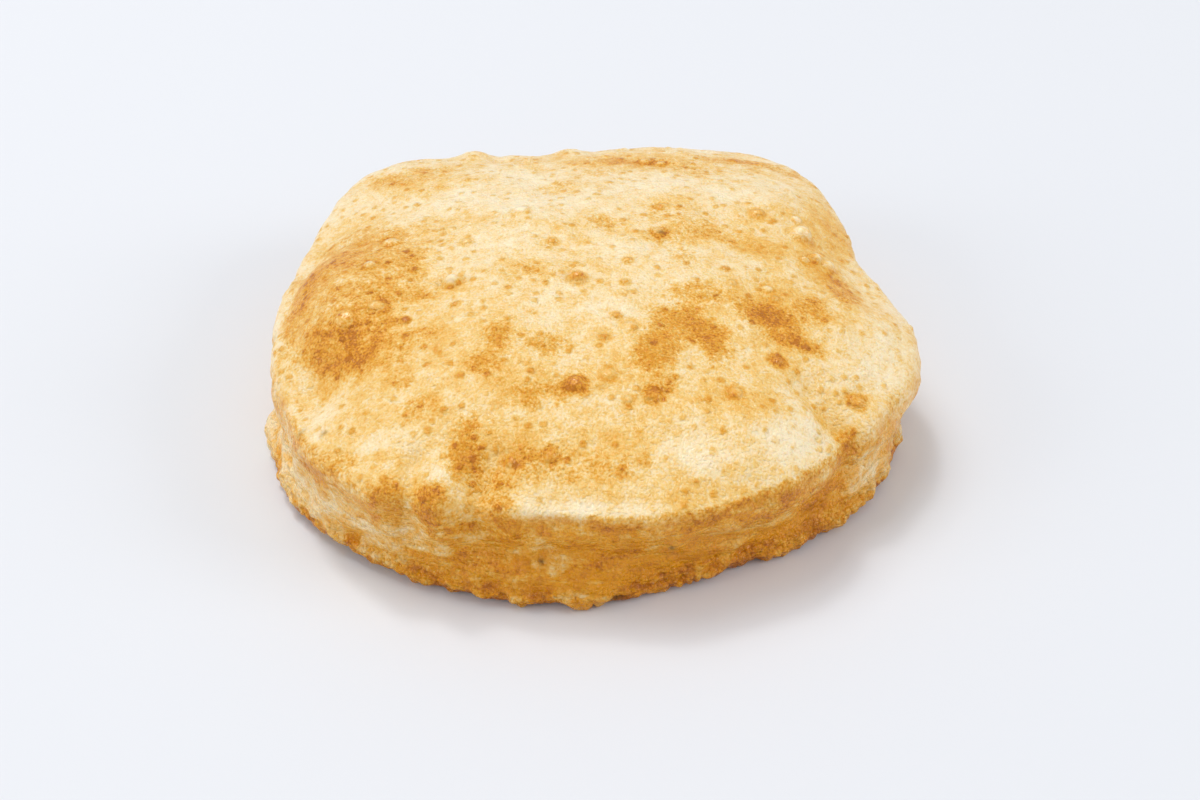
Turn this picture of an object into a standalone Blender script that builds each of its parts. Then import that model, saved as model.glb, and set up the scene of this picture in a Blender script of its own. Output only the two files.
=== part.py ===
"""Bhatura: one puffed, deep-fried wheat bread, 226 mm across, resting on the flat spot of its lower skin.

The bread is a box of dough skin blown up into a cushion: a domed top with swells and hollows, a rim
where the top turns down, a pleated side wall, a craggy lip along the foot, and a flat spot underneath.
Metres, +Z up, with the front (the side with the sharpest rim) towards -Y. Compass angles are in degrees
from +X, counter-clockwise from above, so the front is at -90.
"""

import math

import bmesh
import bpy
import numpy as np
from mathutils import Vector, noise

MM = 0.001

# Grid of the skin: cells across the top, and cells down the wall
CELLS_ACROSS = 36
CELLS_DOWN = 12

# Driving sizes
RIM_REACH = 107 * MM
FOOT_REACH = 107 * MM
RIM_HEIGHT = 38.5 * MM
CROWN_HEIGHT = 60 * MM
SHOULDER_ROUND = 8 * MM
LIP_HEIGHT = 4.5 * MM
WAIST_TUCK = 2 * MM
FLAT_SPOT_REACH = 62 * MM
UNDERSIDE_RISE = 1.5 * MM

# Outline of the rim from above: (compass angle, half spread in degrees, extra reach)
RIM_SWELLS = (
    (134, 20, 18 * MM),
    (95, 18, -2 * MM),
    (55, 20, 19 * MM),
    (20, 8, -4 * MM),
    (-11, 20, 6 * MM),
    (-135, 24, 7 * MM),
    (-100, 20, -5 * MM),
    (-172, 20, 1.5 * MM),
    (163, 12, 2 * MM),
)

# Outline of the foot, in the same terms
FOOT_SWELLS = (
    (134, 22, 9 * MM),
    (58, 24, 9 * MM),
    (-20, 20, 4 * MM),
    (-150, 30, 9 * MM),
    (-68, 20, -5.5 * MM),
)

# Where the foot curls up off the table
FOOT_LIFTS = ((-133, 12, 2.5 * MM),)

# Height of the rim round the bread
RIM_LIFTS = (
    (90, 45, 9.5 * MM),
    (150, 30, 5 * MM),
    (40, 22, 4 * MM),
    (-90, 50, -1 * MM),
)

# The rim is sharpest along the front
SHOULDER_CHANGES = ((-85, 45, -4 * MM),)

# Swells and hollows of the top: (x, y, half spread, height)
TOP_SWELLS = (
    (-83 * MM, -2 * MM, 25 * MM, 6.5 * MM),
    (-79 * MM, -23 * MM, 12 * MM, 3.5 * MM),
    (-89 * MM, -48 * MM, 12 * MM, -4 * MM),
    (-54 * MM, -14 * MM, 13 * MM, -1.5 * MM),
    (74 * MM, 48 * MM, 26 * MM, 4 * MM),
    (98 * MM, 7 * MM, 12 * MM, -1.5 * MM),
    (96 * MM, -30 * MM, 20 * MM, 2.5 * MM),
    (56 * MM, -76 * MM, 18 * MM, 3 * MM),
    (-78 * MM, 82 * MM, 20 * MM, 3 * MM),
    (-44 * MM, -94 * MM, 8 * MM, 3.5 * MM),
    (-62 * MM, -89 * MM, 9 * MM, 2.5 * MM),
    (8 * MM, -25 * MM, 40 * MM, -1.5 * MM),
    (-47 * MM, 96 * MM, 7 * MM, 2.6 * MM),
    (-36 * MM, 93 * MM, 5 * MM, -2.4 * MM),
    (-9 * MM, 99 * MM, 6 * MM, 1.5 * MM),
    (0 * MM, 98 * MM, 4 * MM, -1.2 * MM),
    (26 * MM, 99 * MM, 16 * MM, 1.6 * MM),
)

# Folds of the top: (start x, start y, end x, end y, half width, depth)
TOP_FOLDS = (
    (70 * MM, -54 * MM, 86 * MM, -74 * MM, 6 * MM, 4 * MM),
    (-29 * MM, -86 * MM, -36 * MM, -102 * MM, 5 * MM, 2.5 * MM),
    (-52 * MM, -84 * MM, -54 * MM, -102 * MM, 4 * MM, 2 * MM),
    (-97 * MM, 38 * MM, -107 * MM, -12 * MM, 4 * MM, 1.2 * MM),
)

# Largest blisters of the top: (x, y, radius, height)
BLISTERS = (
    (-25 * MM, 31 * MM, 5 * MM, 1.7 * MM),
    (81 * MM, 15 * MM, 6 * MM, 1.4 * MM),
    (75 * MM, 28 * MM, 5 * MM, 1.3 * MM),
    (-4 * MM, -61 * MM, 5 * MM, 1.1 * MM),
)

# Relief that has no one place: the length of its waves and their depth
DOUGH_WAVE = 28 * MM
DOUGH_DEPTH = 0.9 * MM
PLEAT_LENGTH = 42 * MM
PLEAT_HEIGHT = 9 * MM
PLEAT_DEPTH = 1.4 * MM
CRAG_LENGTH = 17 * MM
CRAG_DEPTH = 1 * MM

# The loose flake of skin at the left of the foot: compass angle, height, half spread and thickness
FLAKE_ANGLE = -167
FLAKE_HEIGHT = 10 * MM
FLAKE_SPREAD = 8 * MM
FLAKE_THICKNESS = 1.5 * MM

CRUST_COLOUR = (0.80, 0.53, 0.22, 1.0)
CRUST_ROUGHNESS = 0.42


def smooth_step(values, low, high):
    """0 below low, 1 above high, and a smooth rise between them."""
    share = np.clip((values - low) / (high - low), 0, 1)
    return share * share * (3 - 2 * share)


def bell(distance, half_spread):
    """1 at no distance, falling off smoothly to nothing at about twice the half spread."""
    return np.exp(-((distance / half_spread) ** 2))


def waves(places, lengths, seed):
    """Even random waves between about -1 and 1, with one wave length for each axis."""
    scaled = places / np.array(lengths) + seed
    return np.array([noise.noise(Vector(point)) for point in scaled]) * 1.6


def round_the_bread(angle, mean, swells):
    """A size that is mean all round, changed near each swell's compass angle."""
    size = np.full_like(angle, mean)
    for at, spread, extra in swells:
        apart = np.degrees(np.angle(np.exp(1j * (angle - math.radians(at)))))
        size += extra * bell(apart, spread)
    return size


def profile_stations(angle):
    """The section at each angle, as stations along the skin with the reach and height of the skin there."""
    rim = round_the_bread(angle, RIM_REACH, RIM_SWELLS)
    foot = round_the_bread(angle, FOOT_REACH, FOOT_SWELLS)
    top = round_the_bread(angle, RIM_HEIGHT, RIM_LIFTS)
    turn = round_the_bread(angle, SHOULDER_ROUND, SHOULDER_CHANGES)
    lift = round_the_bread(angle, 0, FOOT_LIFTS)
    drop = CROWN_HEIGHT - top
    edge = rim - turn
    zero = np.zeros_like(angle)
    return (
        (-0.35, -0.35 * edge, CROWN_HEIGHT - 0.07 * drop),
        (0.00, zero, zero + CROWN_HEIGHT),
        (0.35, 0.35 * edge, CROWN_HEIGHT - 0.07 * drop),
        (0.62, 0.62 * edge, CROWN_HEIGHT - 0.30 * drop),
        (0.83, 0.83 * edge, CROWN_HEIGHT - 0.62 * drop),
        (1.00, edge, top),
        (1.08, rim - 0.25 * turn, top - 0.35 * turn),
        (1.17, rim, top - 1.1 * turn),
        (1.40, 0.5 * (rim + foot) - WAIST_TUCK, 0.50 * top),
        (1.66, foot - 1.5 * MM, 0.25 * top),
        (1.80, foot, lift + LIP_HEIGHT),
        (1.90, foot - 1.8 * MM, lift + 1.2 * MM),
        (2.00, foot - 8 * MM, lift),
        (2.30, 0.65 * foot, zero),
        (3.00, zero, zero),
        (3.35, -0.35 * foot, zero),
    )


def section(angle, station):
    """Reach and height of the skin, on a smooth curve through the profile's stations."""
    stations = profile_stations(angle)
    reach = np.zeros_like(angle)
    height = np.zeros_like(angle)
    for before, here, there, after in zip(stations, stations[1:], stations[2:], stations[3:]):
        inside = (station >= here[0]) & (station <= there[0])
        span = there[0] - here[0]
        t = (station - here[0]) / span
        for out, column in ((reach, 1), (height, 2)):
            leave = (there[column] - before[column]) / (there[0] - before[0]) * span
            arrive = (after[column] - here[column]) / (after[0] - here[0]) * span
            curve = (
                (2 * t**3 - 3 * t**2 + 1) * here[column]
                + (t**3 - 2 * t**2 + t) * leave
                + (3 * t**2 - 2 * t**3) * there[column]
                + (t**3 - t**2) * arrive
            )
            out[inside] = curve[inside]
    return reach, np.maximum(height, 0)


def fold_depth(x, y, fold):
    """Depth of one fold at each place: deepest along its middle line, nothing beyond its ends."""
    start_x, start_y, end_x, end_y, half_width, depth = fold
    along_x, along_y = end_x - start_x, end_y - start_y
    share = ((x - start_x) * along_x + (y - start_y) * along_y) / (along_x**2 + along_y**2)
    share = np.clip(share, 0, 1)
    distance = np.hypot(x - start_x - share * along_x, y - start_y - share * along_y)
    return depth * bell(distance, half_width)


def top_relief(places):
    """How far the upper skin stands proud of its smooth form: swells, folds, blisters and soft waves."""
    x, y, z = places.T
    proud = DOUGH_DEPTH * waves(places, (DOUGH_WAVE, DOUGH_WAVE, DOUGH_WAVE), 3.7)
    for at_x, at_y, spread, height in TOP_SWELLS:
        proud += height * bell(np.hypot(x - at_x, y - at_y), spread)
    for fold in TOP_FOLDS:
        proud -= fold_depth(x, y, fold)
    for at_x, at_y, radius, height in BLISTERS:
        proud += height * bell(np.hypot(x - at_x, y - at_y), radius)
    return proud * smooth_step(z, 14 * MM, 30 * MM)


def wall_relief(places, angle, station):
    """How far the side wall stands proud: long flat pleats, and the thick craggy lip along the foot."""
    # The waves are read on a ring, so that they close at the back of the compass
    ring = np.stack([FOOT_REACH * np.cos(angle), FOOT_REACH * np.sin(angle), places[:, 2]], 1)
    off_the_underside = 1 - smooth_step(station, 1.9, 2.05)
    on_wall = smooth_step(station, 1.1, 1.25) * (1 - smooth_step(station, 1.6, 1.75))
    pleats = waves(ring, (PLEAT_LENGTH, PLEAT_LENGTH, PLEAT_HEIGHT), 11.3)
    on_lip = smooth_step(station, 1.55, 1.75) * off_the_underside
    crags = waves(ring, (CRAG_LENGTH, CRAG_LENGTH, CRAG_LENGTH), 23.9)
    flake_at = math.radians(FLAKE_ANGLE)
    flake_middle = (FOOT_REACH * math.cos(flake_at), FOOT_REACH * math.sin(flake_at), FLAKE_HEIGHT)
    on_flake = smooth_step(station, 1.2, 1.4) * off_the_underside
    flake = bell(np.linalg.norm(ring - flake_middle, axis=1), FLAKE_SPREAD)
    return PLEAT_DEPTH * pleats * on_wall + CRAG_DEPTH * crags * on_lip + FLAKE_THICKNESS * flake * on_flake


def underside_relief(places, station):
    """How far the skin lifts off the table between the flat spot and the lip."""
    reach = np.hypot(places[:, 0], places[:, 1])
    off_the_spot = smooth_step(reach, FLAT_SPOT_REACH, 90 * MM) * smooth_step(station, 1.9, 2.0)
    lift = waves(places, (DOUGH_WAVE, DOUGH_WAVE, DOUGH_WAVE), 31.1) + 0.5
    return UNDERSIDE_RISE * np.clip(lift, 0, 1.5) * off_the_spot


def box_of_skin():
    """A box cut into square cells, which is then blown up into the bread."""
    bm = bmesh.new()
    bmesh.ops.create_cube(bm, size=2)
    for axis, cells in ((0, CELLS_ACROSS), (1, CELLS_ACROSS), (2, CELLS_DOWN)):
        along = [
            edge
            for edge in bm.edges
            if abs(edge.verts[0].co[axis] - edge.verts[1].co[axis]) > 1
        ]
        bmesh.ops.subdivide_edges(bm, edges=along, cuts=cells - 1, use_grid_fill=True)
    return bm


def blow_up(bm):
    """Moves each vertex of the box to its place on the bread's skin."""
    u, v, w = np.array([vertex.co for vertex in bm.verts]).T
    disc_x = u * np.sqrt(1 - v * v / 2)
    disc_y = v * np.sqrt(1 - u * u / 2)
    angle = np.arctan2(disc_y, disc_x)
    share = np.minimum(np.hypot(disc_x, disc_y), 1)
    on_side = np.maximum(np.abs(u), np.abs(v)) > 1 - 1e-6
    station = np.where(w > 0, share, 3 - share)
    station = np.where(on_side, 1.5 - w / 2, station)
    reach, height = section(angle, station)
    places = np.stack([reach * np.cos(angle), reach * np.sin(angle), height], 1)
    move(bm, places)
    outward = np.array([vertex.normal for vertex in bm.verts])
    proud = top_relief(places) + wall_relief(places, angle, station)
    places += outward * proud[:, None]
    places[:, 2] = np.maximum(places[:, 2], 0) + underside_relief(places, station)
    centre = (places.min(0) + places.max(0)) / 2
    places[:, :2] -= centre[:2]
    move(bm, places)


def move(bm, places):
    """Puts the vertices at their places and works out the normals again."""
    for vertex, place in zip(bm.verts, places):
        vertex.co = place
    bm.normal_update()


def crust_material():
    """The oily golden crust, in one mean colour."""
    material = bpy.data.materials.new("fried crust")
    material.use_nodes = True
    shader = material.node_tree.nodes["Principled BSDF"]
    shader.inputs["Base Color"].default_value = CRUST_COLOUR
    shader.inputs["Roughness"].default_value = CRUST_ROUGHNESS
    shader.inputs["Metallic"].default_value = 0
    return material


def main():
    for old in list(bpy.data.objects):
        bpy.data.objects.remove(old)
    bm = box_of_skin()
    blow_up(bm)
    mesh = bpy.data.meshes.new("bhatura")
    bm.to_mesh(mesh)
    bm.free()
    mesh.shade_smooth()
    mesh.materials.append(crust_material())
    bread = bpy.data.objects.new("bhatura", mesh)
    collection = bpy.data.collections.new("bhatura")
    bpy.context.scene.collection.children.link(collection)
    collection.objects.link(bread)


main()
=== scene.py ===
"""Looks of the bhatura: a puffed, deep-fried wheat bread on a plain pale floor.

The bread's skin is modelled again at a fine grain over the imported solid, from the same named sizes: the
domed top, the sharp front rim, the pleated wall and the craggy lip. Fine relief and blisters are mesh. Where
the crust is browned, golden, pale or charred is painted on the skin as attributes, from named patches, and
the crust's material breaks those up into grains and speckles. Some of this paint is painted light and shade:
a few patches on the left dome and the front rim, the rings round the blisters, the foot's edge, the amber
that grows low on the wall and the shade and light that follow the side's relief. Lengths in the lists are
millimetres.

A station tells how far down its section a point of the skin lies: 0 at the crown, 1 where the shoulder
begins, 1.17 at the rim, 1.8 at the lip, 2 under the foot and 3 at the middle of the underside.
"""

import logging
import math
from dataclasses import dataclass, field
from enum import Enum

import bmesh
import bpy
import numpy as np
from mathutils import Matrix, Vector, noise


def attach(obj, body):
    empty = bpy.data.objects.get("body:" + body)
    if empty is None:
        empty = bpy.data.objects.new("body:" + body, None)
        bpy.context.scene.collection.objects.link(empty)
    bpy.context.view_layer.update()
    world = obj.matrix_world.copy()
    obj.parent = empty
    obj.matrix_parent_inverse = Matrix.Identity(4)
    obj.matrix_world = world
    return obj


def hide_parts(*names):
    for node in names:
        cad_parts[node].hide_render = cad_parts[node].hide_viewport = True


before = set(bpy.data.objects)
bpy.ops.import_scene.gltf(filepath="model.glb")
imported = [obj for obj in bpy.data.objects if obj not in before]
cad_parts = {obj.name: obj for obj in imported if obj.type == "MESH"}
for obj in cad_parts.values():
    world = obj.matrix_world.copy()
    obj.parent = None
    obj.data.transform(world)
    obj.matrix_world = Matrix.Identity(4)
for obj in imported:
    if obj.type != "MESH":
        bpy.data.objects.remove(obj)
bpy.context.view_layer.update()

MM = 0.001
NODE = "bhatura"
PIECE = "bhatura_crust"
# The bread's mean reach from its middle
MEAN_REACH = 107
# Brings Blender's noise up to about -1 to 1
NOISE_GAIN = 1.6

Socket = bpy.types.NodeSocket
Colour = tuple[float, float, float, float]
Range = tuple[float, float]
Weights = tuple[tuple[str, float], ...]

logging.basicConfig(level=logging.INFO, format="%(message)s")
LOG = logging.getLogger(NODE)


def smooth_step(values: np.ndarray, low: float, high: float) -> np.ndarray:
    """Rises smoothly from 0 at low to 1 at high.

    Args:
        values: The numbers to look up.
        low: Where the rise starts.
        high: Where the rise ends.

    Returns:
        The share of the rise at each number.
    """
    share = np.clip((values - low) / (high - low), 0, 1)
    return share * share * (3 - 2 * share)


def bell(distance: np.ndarray, half_spread: float) -> np.ndarray:
    """1 at no distance, falling off smoothly to nothing at about twice the half spread."""
    return np.exp(-((distance / half_spread) ** 2))


def turned_from(angle: np.ndarray, at: float) -> np.ndarray:
    """How far each angle in radians is turned from a compass angle in degrees, from -pi to pi."""
    return np.angle(np.exp(1j * (angle - math.radians(at))))


def linear_colour(code: str) -> Colour:
    """Turns an sRGB hex colour into the linear colour that a shader takes.

    Args:
        code: Six hex digits.

    Returns:
        Linear red, green, blue and an alpha of 1.
    """
    levels = [int(code[at:at + 2], 16) / 255 for at in (0, 2, 4)]
    bright = [level / 12.92 if level <= 0.04045 else ((level + 0.055) / 1.055) ** 2.4 for level in levels]
    return (bright[0], bright[1], bright[2], 1.0)


def add_node(
    tree: bpy.types.NodeTree, kind: str, settings: dict | None = None, inputs: dict | None = None
) -> bpy.types.Node:
    """Adds one shader node.

    Args:
        tree: The material's node tree.
        kind: Blender's name for the node.
        settings: Properties of the node and their values.
        inputs: Input sockets, by name or number, with a value or the output socket that feeds each.

    Returns:
        The new node.
    """
    node = tree.nodes.new(kind)
    for name, value in (settings or {}).items():
        setattr(node, name, value)
    for name, value in (inputs or {}).items():
        if isinstance(value, Socket):
            tree.links.new(value, node.inputs[name])
        else:
            node.inputs[name].default_value = value
    return node


def add_object(name: str, bm: bmesh.types.BMesh) -> bpy.types.Object:
    """Turns cells that are finished into an object of the scene, at the origin.

    Args:
        name: The object's name, and its mesh's.
        bm: The cells, which are freed.

    Returns:
        The object.
    """
    mesh = bpy.data.meshes.new(name)
    bm.to_mesh(mesh)
    bm.free()
    made = bpy.data.objects.new(name, mesh)
    bpy.context.scene.collection.objects.link(made)
    return made


@dataclass(frozen=True)
class CompassSwell:
    """A change of a size near one compass angle, in degrees, with its half spread and its extra."""

    at: float
    spread: float
    extra: float


def round_the_bread(angle: np.ndarray, mean: float, swells: tuple[CompassSwell, ...]) -> np.ndarray:
    """A size that is mean all round, changed near each swell.

    Args:
        angle: Compass angles in radians.
        mean: The size away from the swells.
        swells: The changes.

    Returns:
        The size at each angle, in the unit of the mean.
    """
    size = np.full_like(angle, mean)
    for swell in swells:
        size += swell.extra * bell(np.degrees(turned_from(angle, swell.at)), swell.spread)
    return size


@dataclass(frozen=True)
class Zone:
    """A stretch of the section: the stations where it starts, is whole, begins to fade and is gone."""

    starts: float
    whole: float
    fades: float
    gone: float

    def share(self, station: np.ndarray) -> np.ndarray:
        """How much of each station lies in the zone, from 0 to 1."""
        faded = smooth_step(station, self.fades, self.gone)
        return smooth_step(station, self.starts, self.whole) * (1 - faded)


@dataclass(frozen=True)
class Waves:
    """Even random waves on the skin: their length along it and up it, their depth and a seed of their own."""

    along: float
    up: float
    depth: float
    seed: float

    def pattern(self, places: np.ndarray) -> np.ndarray:
        """The waves at each point, given in metres, between about -1 and 1."""
        lengths = np.array((self.along, self.along, self.up)) * MM
        return np.array([noise.noise(Vector(point)) for point in places / lengths + self.seed]) * NOISE_GAIN

    def relief(self, places: np.ndarray) -> np.ndarray:
        """The height of the waves at each point, in the unit of their depth."""
        return self.depth * self.pattern(places)


@dataclass(frozen=True)
class Swell:
    """A soft swell, or a hollow where its height is negative, seen from above."""

    x: float
    y: float
    spread: float
    height: float

    def relief(self, x: np.ndarray, y: np.ndarray) -> np.ndarray:
        """How far the swell lifts the skin at each place, in millimetres."""
        return self.height * bell(np.hypot(x - self.x, y - self.y), self.spread)


@dataclass(frozen=True)
class Fold:
    """A crease of the top along a straight line."""

    start_x: float
    start_y: float
    end_x: float
    end_y: float
    half_width: float
    depth: float

    def relief(self, x: np.ndarray, y: np.ndarray) -> np.ndarray:
        """How far the fold lifts the skin at each place, which is below 0, in millimetres.

        Args:
            x: Places across, in millimetres.
            y: Places from front to back, in millimetres.

        Returns:
            The lift, which is lowest on the fold's line.
        """
        along_x = self.end_x - self.start_x
        along_y = self.end_y - self.start_y
        from_x = x - self.start_x
        from_y = y - self.start_y
        share = np.clip((from_x * along_x + from_y * along_y) / (along_x**2 + along_y**2), 0, 1)
        distance = np.hypot(from_x - share * along_x, from_y - share * along_y)
        return -self.depth * bell(distance, self.half_width)


class Tone(Enum):
    """What frying has done to a patch of the skin; the value is the name of its attribute."""

    BROWN = "browned"
    GOLD = "golden"
    PALE = "pale"
    CHAR = "charred"


# The profile of a blister, in shares of its radius and its height: its edge is steep, with a moat round it
DOME_POWER = 0.75
MOAT_REACH = 1.25
MOAT_SPREAD = 0.35
MOAT_DEPTH = 0.18


@dataclass(frozen=True)
class Blister:
    """A small bubble under the skin, with a steep edge, and the tone of its thin top."""

    x: float
    y: float
    radius: float
    height: float
    tone: Tone = Tone.GOLD

    def share(self, x: np.ndarray, y: np.ndarray) -> np.ndarray:
        """How far each place is from the blister's middle, as a share of its radius."""
        return np.hypot(x - self.x, y - self.y) / self.radius

    def relief(self, x: np.ndarray, y: np.ndarray) -> np.ndarray:
        """How far the blister lifts the skin at each place, in millimetres.

        Args:
            x: Places across, in millimetres.
            y: Places from front to back, in millimetres.

        Returns:
            The lift, which is a dome with a shallow moat round it.
        """
        share = self.share(x, y)
        dome = np.clip(1 - share**2, 0, 1) ** DOME_POWER
        return self.height * (dome - MOAT_DEPTH * bell(share - MOAT_REACH, MOAT_SPREAD))


@dataclass(frozen=True)
class Patch:
    """An oval patch on the top: half length, half breadth, turn in degrees and strength.

    The edge tells how sharply it ends: 2 fades out softly, and 6 is even with a crisp edge.
    """

    x: float
    y: float
    along: float
    across: float
    turn: float
    strength: float
    edge: float = 2.6

    def cover(self, x: np.ndarray, y: np.ndarray) -> np.ndarray:
        """How strongly the patch covers each place.

        Args:
            x: Places across, in millimetres.
            y: Places from front to back, in millimetres.

        Returns:
            The cover, from 0 to the patch's strength.
        """
        turn = math.radians(self.turn)
        along = ((x - self.x) * math.cos(turn) + (y - self.y) * math.sin(turn)) / self.along
        across = ((y - self.y) * math.cos(turn) - (x - self.x) * math.sin(turn)) / self.across
        return self.strength * np.exp(-(np.hypot(along, across) ** self.edge))


@dataclass(frozen=True)
class WallMark:
    """An oval mark on the side wall, at a compass angle in degrees and a height above the table."""

    at: float
    height: float
    along: float
    up: float
    strength: float

    def cover(self, angle: np.ndarray, height: np.ndarray) -> np.ndarray:
        """How strongly the mark covers each place, given in radians and millimetres."""
        apart = turned_from(angle, self.at) * MEAN_REACH / self.along
        return self.strength * bell(np.hypot(apart, (height - self.height) / self.up), 1.0)


@dataclass
class Outline:
    """The bread's outline and section: reach and height all round the compass, in millimetres."""

    rim_reach: float = MEAN_REACH
    foot_reach: float = MEAN_REACH
    rim_height: float = 38.5
    crown_height: float = 60
    shoulder_round: float = 8
    waist_tuck: float = 2
    # Heights of the waist and of the skin above the lip, as shares of the rim's height
    waist_level: float = 0.50
    above_lip_level: float = 0.25
    lip_height: float = 4.5
    lip_overhang: float = 1.5
    lip_round: float = 1.8
    lip_underside: float = 1.2
    foot_tuck: float = 8
    # The dome: how much of its drop to the rim it has made at each share of the way out
    dome: tuple[Range, ...] = ((0.35, 0.07), (0.62, 0.30), (0.83, 0.62))
    # The shoulder: how far in from the rim and down it lies halfway round, and how far down the rim lies,
    # as shares of its round
    shoulder_in: float = 0.25
    shoulder_down: float = 0.35
    rim_down: float = 1.1
    # How far out the underside is still flat, as a share of the foot's reach
    flat_share: float = 0.65
    rim_swells: tuple[CompassSwell, ...] = (
        CompassSwell(134, 20, 18),
        CompassSwell(95, 18, -2),
        CompassSwell(55, 20, 19),
        CompassSwell(20, 8, -4),
        CompassSwell(-11, 20, 6),
        CompassSwell(-135, 24, 7),
        CompassSwell(-100, 20, -5),
        CompassSwell(-172, 20, 1.5),
        CompassSwell(163, 12, 2),
    )
    foot_swells: tuple[CompassSwell, ...] = (
        CompassSwell(134, 22, 9),
        CompassSwell(58, 24, 9),
        CompassSwell(-20, 20, 4),
        CompassSwell(-150, 30, 9),
        CompassSwell(-68, 20, -5.5),
    )
    foot_lifts: tuple[CompassSwell, ...] = (CompassSwell(-133, 12, 2.5),)
    rim_lifts: tuple[CompassSwell, ...] = (
        CompassSwell(90, 45, 9.5),
        CompassSwell(150, 30, 5),
        CompassSwell(40, 22, 4),
        CompassSwell(-90, 50, -1),
    )
    shoulder_changes: tuple[CompassSwell, ...] = (CompassSwell(-85, 45, -4),)

    def stations(self, angle: np.ndarray) -> tuple[tuple, ...]:
        """The section at each angle, as stations along the skin.

        Args:
            angle: Compass angles in radians.

        Returns:
            Station number, reach and height of the skin there, in metres, from crown to underside.
        """
        rim = round_the_bread(angle, self.rim_reach, self.rim_swells) * MM
        foot = round_the_bread(angle, self.foot_reach, self.foot_swells) * MM
        top = round_the_bread(angle, self.rim_height, self.rim_lifts) * MM
        turn = round_the_bread(angle, self.shoulder_round, self.shoulder_changes) * MM
        lift = round_the_bread(angle, 0, self.foot_lifts) * MM
        crown = self.crown_height * MM
        edge = rim - turn
        zero = np.zeros_like(angle)
        dome = [(share, share * edge, crown - fallen * (crown - top)) for share, fallen in self.dome]
        past_crown = (-dome[0][0], -dome[0][1], dome[0][2])
        return (
            past_crown,
            (0.00, zero, zero + crown),
            *dome,
            (1.00, edge, top),
            (1.08, rim - self.shoulder_in * turn, top - self.shoulder_down * turn),
            (1.17, rim, top - self.rim_down * turn),
            (1.40, (rim + foot) / 2 - self.waist_tuck * MM, self.waist_level * top),
            (1.66, foot - self.lip_overhang * MM, self.above_lip_level * top),
            (1.80, foot, lift + self.lip_height * MM),
            (1.90, foot - self.lip_round * MM, lift + self.lip_underside * MM),
            (2.00, foot - self.foot_tuck * MM, lift),
            (2.30, self.flat_share * foot, zero),
            (3.00, zero, zero),
            (3.35, (self.flat_share - 1) * foot, zero),
        )

    def section(self, angle: np.ndarray, station: np.ndarray) -> tuple[np.ndarray, np.ndarray]:
        """The skin on a smooth curve through the stations.

        Args:
            angle: Compass angle of each point, in radians.
            station: Station of each point, from 0 at the crown to 3 at the underside's middle.

        Returns:
            Reach and height of each point, in metres.
        """
        stations = self.stations(angle)
        reach = np.zeros_like(angle)
        height = np.zeros_like(angle)
        for before, here, there, after in zip(stations, stations[1:], stations[2:], stations[3:]):
            inside = (station >= here[0]) & (station <= there[0])
            span = there[0] - here[0]
            t = (station - here[0]) / span
            for out, column in ((reach, 1), (height, 2)):
                leave = (there[column] - before[column]) / (there[0] - before[0]) * span
                arrive = (after[column] - here[column]) / (after[0] - here[0]) * span
                curve = (
                    (2 * t**3 - 3 * t**2 + 1) * here[column]
                    + (t**3 - 2 * t**2 + t) * leave
                    + (3 * t**2 - 2 * t**3) * there[column]
                    + (t**3 - t**2) * arrive
                )
                out[inside] = curve[inside]
        return reach, np.maximum(height, 0)


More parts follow.
